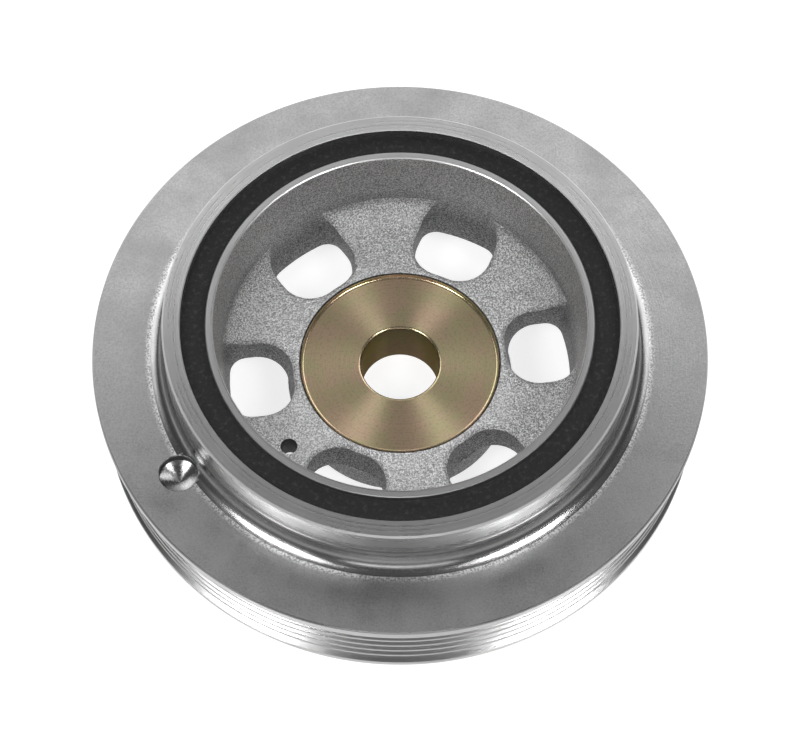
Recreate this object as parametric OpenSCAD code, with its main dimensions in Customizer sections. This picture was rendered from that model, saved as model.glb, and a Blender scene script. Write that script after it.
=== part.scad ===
// Harmonic balancer for an engine crankshaft.
// A turned outer ring with belt grooves is carried by a ring of rubber on a cast, spoked hub.
// A turned insert in the hub's boss takes the crankshaft bolt.
// The axis of turning is Z, the front faces +Z, and Z = 0 is the rear face of the boss.
// All lengths are in millimetres and all angles in degrees.

/* [Outer ring] */
// Diameter over the front flange
flange_d = 171; // [170:0.5:180]
// Width from the rear face of the ring to the flange's front face
ring_w = 26.8; // [26.5:0.1:30]
// Height of the ring's rear face above the boss's rear face
ring_lift = 1.2; // [0:0.1:4]
// Edge break on the flange's rim
flange_edge = 0.45; // [0.2:0.05:0.7]
// Height of the collar above the flange
collar_h = 16.4; // [13:0.1:20]
// Wall thickness of the collar
collar_wall = 4.95; // [4:0.05:6]
// Edge break on the collar's outer rim
collar_edge = 0.5; // [0.2:0.05:1]
// Edge break on the collar's bore
collar_bore_edge = 0.25; // [0.1:0.05:0.5]
// Radius of the fillet at the collar's foot
collar_fillet = 4.7; // [3:0.1:6]
// Height above the flange at which the collar's wall steps in
collar_step_h = 6.4; // [6.2:0.1:10]
// Depth of that step in the wall
collar_step = 0.2; // [0.1:0.05:0.4]

/* [Belt grooves] */
// Number of grooves
groove_count = 6; // [4:1:6]
// Distance from one groove to the next
groove_pitch = 3.56; // [3.4:0.02:3.6]
// Included angle of a groove
groove_angle = 40; // [36:1:42]
// Width of the flat left on top of a rib
rib_tip_w = 0.95; // [0.8:0.05:1.1]
// Diameter over the ribs
rib_d = 167; // [164:0.5:168]
// Depth of a groove below the rib tops
groove_depth = 2.8; // [2.4:0.1:3]
// Distance of the first groove's centre behind the flange's front face
groove_first = 5.3; // [5:0.1:5.6]
// Diameter of the lip behind the last groove
lip_d = 168.4; // [168:0.1:170]
// Edge break on the rear lip
lip_edge = 0.4; // [0.2:0.05:0.6]

/* [Drilled dimple] */
// Diameter of the dimple
dimple_d = 10.6; // [8:0.1:11]
// Depth of its straight wall
dimple_wall = 2.9; // [1:0.1:4]
// Included angle of the drill's point
dimple_point = 118; // [90:1:140]
// Distance of the dimple from the axis
dimple_at = 71.6; // [71:0.1:73]
// Direction of the dimple from the axis
dimple_turn = 212.9; // [0:0.1:360]

/* [Rubber ring] */
// Thickness of the rubber
rubber_t = 6.86; // [5:0.02:8]
// How far the rubber lies below the hub's rim at the front
rubber_sunk_front = 2.1; // [0.5:0.1:5]
// How far the rubber lies inside the hub's barrel at the rear
rubber_sunk_rear = 1.5; // [0.5:0.1:5]

/* [Hub] */
// Outer diameter of the hub's barrel
barrel_d = 106.4; // [104:0.2:110]
// Wall of the barrel at its front rim
barrel_wall = 2.05; // [1.6:0.05:3]
// Wall of the barrel at its rear end
barrel_foot = 4.9; // [3.6:0.1:5.4]
// How far the hub's rim lies below the collar's top
barrel_drop = 0.5; // [0:0.1:1.5]
// Edge break on the hub's rim
barrel_edge = 0.25; // [0.1:0.05:0.5]
// Height of the web's rear face above the boss's rear face
web_lift = 9.4; // [8:0.1:11]
// Thickness of the web
web_t = 9; // [7:0.1:11]
// Radius of the fillet between the web and the bowl's wall
bowl_fillet = 7; // [4:0.1:8]
// Diameter of the boss at the web's front face
boss_d = 60.5; // [60:0.1:62]
// Growth of the boss's radius through the web, seen in the windows
boss_draft = 1.35; // [0.5:0.05:2]
// Step by which the boss is larger in radius just behind the web
boss_step = 0.2; // [0.1:0.05:0.4]
// Loss of the boss's radius from there to its rear face
boss_rear_draft = 0.45; // [0.1:0.05:1]
// Edge break on the boss's rear face
boss_edge = 0.6; // [0.2:0.1:1]
// Diameter of the small hole in one spoke
spoke_hole_d = 4.7; // [3:0.1:6]
// Distance of that hole from the axis
spoke_hole_at = 40.5; // [38:0.1:43]
// Direction of that hole from the axis
spoke_hole_turn = 220.6; // [215:0.1:225]

/* [Windows] */
// Number of windows between the spokes
window_count = 6; // [3:1:6]
// Width of a window between its two parallel sides
window_w = 22.6; // [20:0.1:23]
// Direction of the first window from the axis
window_turn = 7.5; // [0:0.5:15]
// Corner radius next to the boss
window_inner_corner = 9; // [6:0.1:9.5]
// Corner radius next to the bowl's wall
window_outer_corner = 4.8; // [3:0.1:7]
// Rounding of the cast edge round the top of a window
window_edge = 1.5; // [0.8:0.1:1.7]

/* [Centre insert] */
// Outer diameter of the insert
insert_d = 56; // [54:0.1:57]
// Radial clearance between insert and boss
insert_clearance = 0.02; // [0:0.01:0.1]
// How far the insert's rim lies below the web's front face
insert_drop = 0.05; // [0:0.05:0.5]
// Width of the raised rim's slope
insert_slope_w = 0.75; // [0.4:0.05:1.5]
// Depth of the flat face below the rim
insert_face_drop = 1; // [0.5:0.1:2]
// Diameter of the bolt bore
bore_d = 22; // [18:0.1:26]
// Edge break at the front of the bore
bore_edge = 0.75; // [0.4:0.05:1.2]
// Edge break at the rear of the bore
bore_rear_edge = 1.1; // [0.4:0.05:1.5]
// Width of the joint groove round the insert's front edge
joint_w = 0.4; // [0.2:0.05:0.6]
// Depth of that joint groove
joint_depth = 1.6; // [1:0.1:3]

/* [Hidden] */
$fn = 96;

// Small overlap that lets a cut pass cleanly through a face
over = 1;
// How far the web reaches into the barrel's wall, so that the two are one casting
web_root = 1;
// Flat left on top of the insert's rim
rim_flat_w = 0.3;

// Heights of the ring's faces
ring_rear_z = ring_lift;
flange_z = ring_lift + ring_w;
collar_z = flange_z + collar_h;

// Heights of the hub's faces
web_rear_z = web_lift;
web_z = web_lift + web_t;
barrel_z = collar_z - barrel_drop;

// Radii from the axis outwards
bore_r = bore_d / 2;
insert_r = insert_d / 2;
boss_bore_r = insert_r + insert_clearance;
boss_r = boss_d / 2;
barrel_r = barrel_d / 2;
ring_bore_r = barrel_r + rubber_t;
collar_r = ring_bore_r + collar_wall;
collar_foot_r = collar_r + collar_step;
rib_r = rib_d / 2;
lip_r = lip_d / 2;
flange_r = flange_d / 2;

// The bowl's inner wall is a cone: its radius at any height, and the length of its slope per unit of height
bowl_taper = (barrel_foot - barrel_wall) / (barrel_z - web_rear_z);
bowl_lean = sqrt(1 + bowl_taper * bowl_taper);
function bowl_r(z) = barrel_r - barrel_foot + bowl_taper * (z - web_rear_z);

// The bowl's fillet touches the web's front face and the cone
fillet_z = web_z + bowl_fillet;
fillet_r = bowl_r(fillet_z) - bowl_fillet * bowl_lean;
fillet_end_z = fillet_z - bowl_fillet * bowl_taper / bowl_lean;

// Height of the web's front surface at a given radius
function web_surface_z(r) =
    r <= fillet_r ? web_z : fillet_z - sqrt(max(0, pow(bowl_fillet, 2) - pow(r - fillet_r, 2)));

// Radius of the boss at a given height of the web
function boss_side_r(z) = boss_r + boss_draft * max(0, web_z - z) / web_t;

// Centre of each groove, counted from the flange
function groove_z(i) = flange_z - groove_first - i * groove_pitch;

// Each profile below is drawn in the plane of radius and height

// A cut that breaks the edge at radius r and height z at 45 degrees.
// The edge faces up for up = 1 and down for -1, outwards for out = 1 and inwards for -1.
module edge_break(r, z, size, up = 1, out = 1) {
    polygon([
        [r - out * size, z + up * over],
        [r - out * size, z],
        [r, z - up * size],
        [r + out * over, z - up * size],
        [r + out * over, z + up * over]
    ]);
}

// One belt groove, open outwards beyond the flange
module groove() {
    slope = tan(groove_angle / 2);
    top = (groove_pitch - rib_tip_w) / 2;
    root = top - groove_depth * slope;
    reach = flange_r + over - rib_r;
    polygon([
        [rib_r - groove_depth, -root],
        [rib_r + reach, -top - reach * slope],
        [rib_r + reach, top + reach * slope],
        [rib_r - groove_depth, root]
    ]);
}

// Section of the outer ring
module outer_ring_section() {
    half_open = (groove_pitch - rib_tip_w) / 2;
    flange_rear_z = groove_z(0) + half_open + (flange_r - rib_r) * tan(groove_angle / 2);
    last_z = groove_z(groove_count - 1);
    difference() {
        union() {
            translate([ring_bore_r, ring_rear_z])
                square([lip_r - ring_bore_r, ring_w]);
            translate([ring_bore_r, groove_z(0)])
                square([flange_r - ring_bore_r, flange_z - groove_z(0)]);
            translate([ring_bore_r, flange_z - over])
                square([collar_foot_r - ring_bore_r, collar_step_h + over]);
            translate([ring_bore_r, flange_z - over])
                square([collar_r - ring_bore_r, collar_h + over]);
            translate([collar_foot_r - over, flange_z - over])
                square([collar_fillet + over, collar_fillet + over]);
        }
        translate([collar_foot_r + collar_fillet, flange_z + collar_fillet])
            circle(r = collar_fillet);
        for (i = [0 : groove_count - 1])
            translate([0, groove_z(i)])
                groove();
        translate([rib_r, last_z])
            square([flange_r + over - rib_r, groove_z(0) - last_z]);
        edge_break(flange_r, flange_z, flange_edge);
        edge_break(flange_r, flange_rear_z, flange_edge, -1);
        edge_break(lip_r, ring_rear_z, lip_edge, -1);
        edge_break(collar_r, collar_z, collar_edge);
        edge_break(ring_bore_r, collar_z, collar_bore_edge, 1, -1);
        edge_break(ring_bore_r, ring_rear_z, collar_bore_edge, -1, -1);
    }
}

// The hole that a drill leaves: a straight wall above a pointed bottom
module dimple() {
    dimple_r = dimple_d / 2;
    rotate([0, 0, dimple_turn])
        translate([dimple_at, 0, flange_z - dimple_wall]) {
            cylinder(r = dimple_r, h = dimple_wall + collar_fillet);
            translate([0, 0, -dimple_r / tan(dimple_point / 2)])
                cylinder(r1 = 0, r2 = dimple_r, h = dimple_r / tan(dimple_point / 2));
        }
}

module outer_ring() {
    color([0.68, 0.69, 0.70])
        difference() {
            rotate_extrude()
                outer_ring_section();
            dimple();
        }
}

module rubber_ring() {
    color([0.08, 0.08, 0.09])
        translate([0, 0, web_rear_z + rubber_sunk_rear])
            difference() {
                cylinder(r = ring_bore_r, h = barrel_z - rubber_sunk_front - web_rear_z - rubber_sunk_rear);
                translate([0, 0, -over])
                    cylinder(r = barrel_r, h = collar_z);
            }
}

// Section of the barrel round the bowl
module barrel_section() {
    difference() {
        polygon([
            [bowl_r(web_rear_z), web_rear_z],
            [barrel_r, web_rear_z],
            [barrel_r, barrel_z],
            [bowl_r(barrel_z), barrel_z]
        ]);
        edge_break(barrel_r, barrel_z, barrel_edge);
        edge_break(barrel_r, web_rear_z, barrel_edge, -1);
        edge_break(bowl_r(barrel_z), barrel_z, barrel_edge, 1, -1);
    }
}

// Section of the web, with the fillet that runs up the bowl's wall
module web_section() {
    difference() {
        polygon([
            [boss_bore_r, web_rear_z],
            [bowl_r(web_rear_z) + web_root, web_rear_z],
            [bowl_r(fillet_end_z) + web_root, fillet_end_z],
            [bowl_r(fillet_end_z), fillet_end_z],
            [fillet_r, fillet_z],
            [fillet_r, web_z],
            [boss_bore_r, web_z]
        ]);
        translate([fillet_r, fillet_z])
            circle(r = bowl_fillet);
    }
}

// Section of the boss behind the web
module boss_section() {
    boss_top_r = boss_side_r(web_rear_z) + boss_step;
    boss_foot_r = boss_top_r - boss_rear_draft;
    difference() {
        polygon([
            [boss_bore_r, 0],
            [boss_foot_r, 0],
            [boss_top_r, web_rear_z],
            [boss_bore_r, web_rear_z]
        ]);
        edge_break(boss_foot_r, 0, boss_edge, -1);
    }
}

// Steps along a window's outline: a corner's turn, a side, and the arc along the boss
corner_steps = 6;
side_steps = 6;
boss_steps = 6;

// Direction of a corner's centre from the window's middle line, the centre at radius r and the corner on the side
function corner_turn(r, corner) = asin((window_w / 2 - corner) / r);

// A point of the outline with its outward direction, [x, y, nx, ny], from a corner's centre
function corner_point(r, corner, a) =
    let (t = corner_turn(r, corner))
    [r * cos(t) + corner * cos(a), r * sin(t) + corner * sin(a), cos(a), sin(a)];

// The window's upper half at height z, from the middle of the outer side to the middle of the boss's side.
// The outer side lies beyond the bowl's wall, so that the wall itself closes the window.
function window_half(z) =
    let (
        outer_r = bowl_r(z) - window_outer_corner,
        inner_r = boss_side_r(z) + window_inner_corner,
        turn_o = corner_turn(outer_r, window_outer_corner),
        turn_i = corner_turn(inner_r, window_inner_corner),
        short = 15,
        far_r = bowl_r(z) + web_root + over,
        first = turn_o + short,
        x0 = outer_r * cos(turn_o),
        x1 = inner_r * cos(turn_i)
    )
    concat(
        [for (i = [0 : 2])
            let (a = turn_o * i / 2)
            [far_r * cos(a), far_r * sin(a), cos(a), sin(a)]],
        [for (i = [0 : corner_steps])
            corner_point(outer_r, window_outer_corner, first + (90 - first) * i / corner_steps)],
        [for (i = [1 : side_steps - 1])
            [x0 + (x1 - x0) * i / side_steps, window_w / 2, 0, 1]],
        [for (i = [0 : corner_steps])
            corner_point(inner_r, window_inner_corner, 90 + (turn_i + 90) * i / corner_steps)],
        [for (i = [1 : boss_steps / 2])
            let (a = turn_i * (1 - 2 * i / boss_steps), r = boss_side_r(z))
            [r * cos(a), r * sin(a), -cos(a), -sin(a)]]
    );

// The whole outline, the lower half mirrored from the upper one
function window_outline(z) =
    let (half = window_half(z), n = len(half))
    concat(half, [for (i = [n - 2 : -1 : 1]) [half[i][0], -half[i][1], half[i][2], -half[i][3]]]);

// Angles at which the rounded edge is drawn. It stops just short of a full quarter turn.
edge_turns = [0, 26, 52, 78];

// Rings of points from the bottom of the window's cut to its top, the outline widening along the rounded edge
function edge_ring(outline, turn) =
    let (out = window_edge * (1 - cos(turn)), down = window_edge * (1 - sin(turn)))
    [for (p = outline)
        let (x = p[0] + out * p[2], y = p[1] + out * p[3])
        [x, y, web_surface_z(min(norm([x, y]), fillet_r + bowl_fillet * 0.97)) - down]];

function level_ring(outline, out, z) =
    [for (p = outline) [p[0] + out * p[2], p[1] + out * p[3], z]];

// One window's cut: a closed skin over the rings of points
module window_cut() {
    last = edge_turns[len(edge_turns) - 1];
    rings = concat(
        [level_ring(window_outline(web_rear_z - over), 0, web_rear_z - over)],
        [for (turn = edge_turns) edge_ring(window_outline(web_z), turn)],
        [level_ring(window_outline(barrel_z), window_edge * (1 - cos(last)), barrel_z)]
    );
    n = len(rings[0]);
    m = len(rings);
    polyhedron(
        points = [for (ring = rings, p = ring) p],
        faces = concat(
            [[for (i = [0 : n - 1]) i]],
            [[for (i = [n - 1 : -1 : 0]) (m - 1) * n + i]],
            [for (k = [0 : m - 2], i = [0 : n - 1])
                let (a = k * n + i, b = k * n + (i + 1) % n)
                each [[a, a + n, b], [b, a + n, b + n]]]
        )
    );
}

// The web with its windows
module web() {
    difference() {
        rotate_extrude()
            web_section();
        for (i = [0 : window_count - 1])
            rotate([0, 0, window_turn + i * 360 / window_count])
                window_cut();
    }
}

module hub() {
    color([0.74, 0.75, 0.76])
        difference() {
            union() {
                rotate_extrude()
                    barrel_section();
                web();
                rotate_extrude()
                    boss_section();
            }
            translate([0, 0, web_z - joint_depth])
                cylinder(r = insert_r + joint_w, h = joint_depth + over);
            rotate([0, 0, spoke_hole_turn])
                translate([spoke_hole_at, 0, web_rear_z - over])
                    cylinder(r = spoke_hole_d / 2, h = web_t + bowl_fillet);
        }
}

// Section of the insert: a raised rim round a flat face, and the bore
module centre_insert_section() {
    rim_z = web_z - insert_drop;
    face_z = rim_z - insert_face_drop;
    slope_top_r = insert_r - rim_flat_w;
    slope_foot_r = slope_top_r - insert_slope_w;
    polygon([
        [bore_r, bore_rear_edge],
        [bore_r + bore_rear_edge, 0],
        [insert_r, 0],
        [insert_r, rim_z],
        [slope_top_r, rim_z],
        [slope_foot_r, face_z],
        [bore_r + bore_edge, face_z],
        [bore_r, face_z - bore_edge]
    ]);
}

module centre_insert() {
    color([0.58, 0.52, 0.38])
        rotate_extrude()
            centre_insert_section();
}

outer_ring();
rubber_ring();
hub();
centre_insert();
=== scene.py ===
import math

import bmesh
import bpy
import numpy as np
from bpy.props import FloatProperty, FloatVectorProperty, IntProperty, PointerProperty
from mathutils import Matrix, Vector


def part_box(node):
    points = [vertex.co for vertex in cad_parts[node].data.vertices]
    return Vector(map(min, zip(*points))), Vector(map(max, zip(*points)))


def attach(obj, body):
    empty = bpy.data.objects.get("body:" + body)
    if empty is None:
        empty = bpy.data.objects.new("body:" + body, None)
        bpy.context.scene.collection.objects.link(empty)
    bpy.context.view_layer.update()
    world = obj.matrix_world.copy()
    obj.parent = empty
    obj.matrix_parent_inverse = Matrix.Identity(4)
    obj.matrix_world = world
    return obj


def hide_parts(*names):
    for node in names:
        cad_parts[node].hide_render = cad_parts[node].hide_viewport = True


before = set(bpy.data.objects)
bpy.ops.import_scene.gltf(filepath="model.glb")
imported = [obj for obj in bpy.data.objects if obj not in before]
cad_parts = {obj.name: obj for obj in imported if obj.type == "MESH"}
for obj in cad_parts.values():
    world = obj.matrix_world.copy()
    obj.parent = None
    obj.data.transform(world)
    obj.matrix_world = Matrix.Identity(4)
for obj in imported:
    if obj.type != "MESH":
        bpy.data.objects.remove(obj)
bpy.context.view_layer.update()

bl_info = {
    "name": "Harmonic balancer",
    "version": (1, 0, 0),
    "blender": (4, 5, 0),
    "location": "View3D > Sidebar > Balancer",
    "description": "Dresses a crankshaft balancer: turned ring, rubber ring, cast hub and passivated insert",
    "category": "Object",
}

# Every length below is in metres, and MM turns millimetres into metres
BODY = "root"
_, HUB_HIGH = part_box("hub")
RING_LOW, RING_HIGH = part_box("outer_ring")
RUBBER_LOW, RUBBER_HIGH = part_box("rubber_ring")
_, INSERT_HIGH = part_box("centre_insert")
MM = 0.001
SHARP = math.radians(28.0)  # an edge that turns by more than this is drawn sharp
WHITE = (1.0, 1.0, 1.0)
COLOUR_A, COLOUR_B, COLOUR_MIXED = 6, 7, 2  # numbers of the Mix node's colour sockets, as their names repeat

# Finishes of the outer ring, the hub and the insert, and their painted shade and painted highlights, by the
# number of their material slot
ON_WALLS, ON_FLANGE, ON_RIM, IN_DIMPLE, ON_FILLET, ON_HIGHLIT_RING_BREAK, ON_SHADED_DIMPLE_WALL = range(7)
ON_CASTING, ON_MACHINED, IN_SHADED_HOLE, ON_HIGHLIT_HUB_BREAK = range(4)
ON_FACE, IN_SHADED_BORE, ON_HIGHLIT_INSERT_EDGE = range(3)

# Lamps: name, place, width, height and the setting that holds the power
LAMPS = (
    ("softbox_left", (-0.365, -0.285, 0.68), 0.24, 0.24, "side_lamp"),
    ("softbox_right", (0.365, -0.285, 0.68), 0.24, 0.24, "side_lamp"),
    ("softbox_front", (0.0, -0.68, 0.40), 0.45, 0.16, "front_lamp"),
    ("softbox_back", (0.0, 0.72, 0.74), 1.4, 0.55, "back_lamp"),
    ("softbox_back_left", (-0.55, 0.62, 0.74), 0.70, 0.55, "back_lamp"),
    ("softbox_back_right", (0.55, 0.62, 0.74), 0.70, 0.55, "back_lamp"),
)
LAMP_TARGET = (0.0, 0.0, 0.03)


def size(name, description, millimetres):
    """A length that the sidebar shows in the scene's units."""
    return FloatProperty(name=name, description=description, default=millimetres * MM, min=0.0, unit="LENGTH")


def angle(name, description, degrees):
    """An angle, given here in degrees."""
    return FloatProperty(name=name, description=description, default=math.radians(degrees), subtype="ANGLE")


def colour(name, description, rgb):
    """A plain colour without opacity."""
    return FloatVectorProperty(name=name, description=description, default=rgb, min=0.0, max=1.0,
                               size=3, subtype="COLOR")


def power(name, description, watts):
    """The power of a lamp."""
    return FloatProperty(name=name, description=description, default=watts, subtype="POWER")


class RingSettings(bpy.types.PropertyGroup):
    """Sizes and colour of the turned outer ring."""
    collar_height: size("Collar height", "Height of the collar above the flange", 16.4)
    collar_wall: size("Collar wall", "Thickness of the collar", 4.95)
    collar_edge: size("Collar edge", "Edge break on the collar's outer rim", 0.5)
    bore_edge: size("Bore edge", "Edge break on the collar's bore", 0.25)
    fillet: size("Foot fillet", "Radius where the collar meets the flange", 4.7)
    step_height: size("Step height", "Height above the flange at which the collar's wall steps in", 6.4)
    step: size("Step", "Depth of that step", 0.2)
    flange_edge: size("Flange edge", "Edge break on the flange's rim", 0.45)
    groove_pitch: size("Groove pitch", "Distance from one belt groove to the next", 3.56)
    groove_count: IntProperty(name="Grooves", description="Number of belt grooves", default=6, min=1)
    groove_angle: angle("Groove angle", "Included angle of a belt groove", 40.0)
    rib_tip: size("Rib tip", "Width of the flat on a rib", 0.95)
    rib_diameter: size("Rib diameter", "Diameter over the ribs", 167.0)
    groove_depth: size("Groove depth", "Depth of a groove below the rib tops", 2.8)
    groove_first: size("First groove", "Distance of the first groove behind the flange's face", 5.3)
    lip_diameter: size("Lip diameter", "Diameter of the lip behind the grooves", 168.4)
    lip_edge: size("Lip edge", "Edge break on the rear lip", 0.4)
    dimple_diameter: size("Dimple diameter", "Diameter of the drilled dimple", 10.6)
    dimple_wall: size("Dimple wall", "Depth of the dimple's straight wall", 2.9)
    dimple_point: angle("Drill point", "Included angle of the dimple's point", 118.0)
    dimple_at: size("Dimple distance", "Distance of the dimple from the axis", 71.6)
    dimple_turn: angle("Dimple direction", "Direction of the dimple from the axis", 212.9)
    steel: colour("Steel", "Colour of the turned steel", (0.50, 0.50, 0.50))


class RubberSettings(bpy.types.PropertyGroup):
    """Look of the rubber ring."""
    raggedness: size("Raggedness", "How far the rubber's moulded edge wanders", 0.12)
    black: colour("Black", "Colour of the rubber", (0.009, 0.009, 0.0095))


class HubSettings(bpy.types.PropertyGroup):
    """Sizes and colour of the cast hub."""
    wall: size("Wall", "Barrel wall at the front rim", 2.05)
    foot: size("Foot", "Barrel wall at the rear end", 4.9)
    web_lift: size("Web lift", "Height of the web's rear face above the boss's rear face", 9.4)
    web_thickness: size("Web thickness", "Thickness of the web", 9.0)
    fillet: size("Bowl fillet", "Radius between the web and the bowl's wall", 7.0)
    boss_diameter: size("Boss diameter", "Diameter of the boss at the web's front face", 60.5)
    boss_draft: size("Boss draft", "Growth of the boss's radius through the web", 1.35)
    boss_step: size("Boss step", "Step by which the boss is larger in radius behind the web", 0.2)
    boss_rear_draft: size("Boss rear draft", "Loss of the boss's radius behind the web", 0.45)
    boss_edge: size("Boss edge", "Edge break on the boss's rear face", 0.6)
    rim_edge: size("Rim edge", "Edge break on the hub's rim", 0.25)
    window_count: IntProperty(name="Windows", description="Number of windows", default=6, min=3)
    window_width: size("Window width", "Width of a window between its two parallel sides", 22.6)
    window_turn: angle("Window direction", "Direction of the first window", 7.5)
    inner_corner: size("Inner corner", "Corner radius of a window next to the boss", 9.0)
    outer_corner: size("Outer corner", "Corner radius of a window next to the wall", 4.8)
    window_edge: size("Window edge", "Rounding of the cast edge round a window", 1.5)
    hole_diameter: size("Small hole", "Diameter of the small hole in one spoke", 4.7)
    hole_at: size("Hole distance", "Distance of that hole from the axis", 40.5)
    hole_turn: angle("Hole direction", "Direction of that hole from the axis", 220.6)
    alloy: colour("Alloy", "Colour of the blasted casting", (0.70, 0.70, 0.705))


class InsertSettings(bpy.types.PropertyGroup):
    """Sizes and colour of the centre insert."""
    bore_diameter: size("Bore diameter", "Diameter of the bolt bore", 22.0)
    bore_edge: size("Bore edge", "Edge break at the front of the bore", 0.75)
    bore_rear_edge: size("Rear bore edge", "Edge break at the rear of the bore", 1.1)
    rim_flat: size("Rim flat", "Width of the raised rim's flat", 0.3)
    slope: size("Slope", "Width of the slope inside the raised rim", 0.75)
    face_drop: size("Face drop", "Depth of the flat face below the rim", 1.0)
    joint_width: size("Joint width", "Width of the joint groove round the insert", 0.4)
    joint_depth: size("Joint depth", "Depth of the joint groove", 1.6)
    clearance: size("Clearance", "Radial clearance between insert and boss", 0.02)
    olive: colour("Olive", "Colour of the yellow passivated steel", (0.435, 0.355, 0.24))


class StageSettings(bpy.types.PropertyGroup):
    """Floor, camera and lamps."""
    camera_back: size("Camera back", "Distance of the camera in front of the part", 336.1)
    camera_height: size("Camera height", "Height of the camera above the floor", 680.1)
    camera_tilt: angle("Camera tilt", "Turn of the camera up from looking straight down", 26.60)
    lens: FloatProperty(name="Lens", description="Focal length on a 36 mm sensor", default=118.76)
    side_lamp: power("Side lamps", "Power of each side softbox", 2.6)
    front_lamp: power("Front lamp", "Power of the low softbox in front", 0.36)
    back_lamp: power("Back lamps", "Power of each softbox behind", 1.95)
    fill: FloatProperty(name="Fill", description="Strength of the even light from all round", default=0.25,
                        min=0.0)
    floor_white: FloatProperty(name="Floor white", description="Share of plain white in what the floor shows",
                               default=0.78, min=0.0, max=1.0)


# Shapes

def arc(centre, radius, start, end, count):
    """Points on a circle: centre plus radius times (cos, sin) of an angle that runs evenly from start to
    end, both in degrees."""
    a = np.linspace(math.radians(start), math.radians(end), count)
    return np.stack([centre[0] + radius * np.cos(a), centre[1] + radius * np.sin(a)], axis=-1)


def path(*stretches):
    """Joins single points and runs of points into one outline of (radius, height) rows."""
    return np.concatenate([np.atleast_2d(np.asarray(stretch, float)) for stretch in stretches])


def between(start, end, share):
    """Straight from start to end: start times (1 - share) plus end times share."""
    return start * (1 - share) + end * share


def polar(radius, turn, height):
    """Points in space: x is radius times cos of the turn, y is radius times sin of it, z is height."""
    radius, turn, height = np.broadcast_arrays(radius, turn, height)
    return np.stack([radius * np.cos(turn), radius * np.sin(turn), height], axis=-1)


def revolved(outline, count):
    """A closed outline carried round the axis: radius and height of each outline point at evenly spaced
    angles, the last one a step before the first."""
    turns = np.arange(count) * 2 * math.pi / count
    return polar(outline[:, :1], turns[None, :], outline[:, 1:])


def grid_faces(rows, columns, first, closed):
    """Quads of a grid whose point (i, j) has number first + i * columns + j. In a closed grid the last row
    also joins the first, and the last column the first."""
    i = np.arange(rows if closed else rows - 1)[:, None]
    j = np.arange(columns if closed else columns - 1)[None, :]
    below, beside = (i + 1) % rows, (j + 1) % columns
    corners = (i * columns + j, below * columns + j, below * columns + beside, i * columns + beside)
    return first + np.stack(np.broadcast_arrays(*corners), axis=-1).reshape(-1, 4)


def make_piece(name, grids, merge=2e-7):
    """One mesh from several grids, each given as (points, closed, material number). Points that lie closer
    than merge become one, so grids that share an edge close up, and faces are turned to point outwards."""
    points, faces, slots, first = [], [], [], 0
    for grid, closed, slot in grids:
        rows, columns = grid.shape[:2]
        points.append(grid.reshape(-1, 3))
        faces.append(grid_faces(rows, columns, first, closed))
        slots.append(np.full(len(faces[-1]), slot))
        first += rows * columns
    mesh = bpy.data.meshes.new(name)
    mesh.from_pydata(np.concatenate(points), [], np.concatenate(faces))
    mesh.polygons.foreach_set("material_index", np.concatenate(slots).astype(np.int32))
    work = bmesh.new()
    work.from_mesh(mesh)
    bmesh.ops.remove_doubles(work, verts=work.verts, dist=merge)
    bmesh.ops.dissolve_degenerate(work, edges=work.edges, dist=merge)
    bmesh.ops.recalc_face_normals(work, faces=work.faces)
    if work.calc_volume(signed=True) < 0:
        bmesh.ops.reverse_faces(work, faces=work.faces)
    work.to_mesh(mesh)
    work.free()
    mesh.polygons.foreach_set("use_smooth", np.ones(len(mesh.polygons), bool))
    mesh.set_sharp_from_angle(angle=SHARP)
    piece = bpy.data.objects.new(name, mesh)
    bpy.context.scene.collection.objects.link(piece)
    return piece


def spot(distance, turn):
    """A place on a face: distance times cos and distance times sin of the angle turn."""
    return distance * math.cos(turn), distance * math.sin(turn)


def drill(piece, profile, sides, centre, height):
    """Takes a drill's space out of the piece. The profile is carried round the drill's own axis, which
    stands upright at the centre, and its zero is at the height."""
    points = revolved(profile, sides) + np.array([*centre, height])
    tool = make_piece("drill", [(points, True, 0)])
    modifier = piece.modifiers.new("drill", "BOOLEAN")
    modifier.operation = "DIFFERENCE"
    modifier.solver = "EXACT"
    modifier.object = tool
    bpy.context.view_layer.update()
    seen = piece.evaluated_get(bpy.context.evaluated_depsgraph_get())
    mesh = bpy.data.meshes.new_from_object(seen)
    piece.modifiers.clear()
    old, spent = piece.data, tool.data
    piece.data = mesh
    mesh.name = old.name
    bpy.data.objects.remove(tool)
    bpy.data.meshes.remove(old)
    bpy.data.meshes.remove(spent)
    mesh.set_sharp_from_angle(angle=SHARP)


def per_face(mesh, key):
    """Every face's middle ("center") or direction ("normal"), as rows of x, y, z."""
    values = np.zeros(len(mesh.polygons) * 3)
    mesh.polygons.foreach_get(key, values)
    return values.reshape(-1, 3)


def keep_tilt(mesh):
    """Stores at each corner how far the surface looks up, from 0 on a wall to 1 on a flat, for the material,
    which paints shade on walls and a highlight on rounded edges by it: the height of the corner's direction,
    never below 0."""
    normals = np.zeros(len(mesh.loops) * 3, np.float32)
    mesh.corner_normals.foreach_get("vector", normals)
    tilt = np.clip(normals.reshape(-1, 3)[:, 2], 0.0, 1.0)
    mesh.attributes.new("tilt", "FLOAT", "CORNER").data.foreach_set("value", np.ascontiguousarray(tilt))


def wander(points, reach, pitch, seed):
    """A smooth uneven field: ten sines of different pitch along fixed odd directions, summed, times reach."""
    usual_sum = 3.2  # about the root of ten
    rng = np.random.default_rng(seed)
    total = np.zeros(points.shape[:-1])
    for _ in range(10):
        direction = rng.normal(size=3)
        direction /= np.linalg.norm(direction)
        wave = 2 * math.pi / (pitch * rng.uniform(0.6, 1.6))
        total += np.sin(points @ (direction * wave) + rng.uniform(0, 2 * math.pi))
    return total * reach / usual_sum


# Nodes of a material

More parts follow.
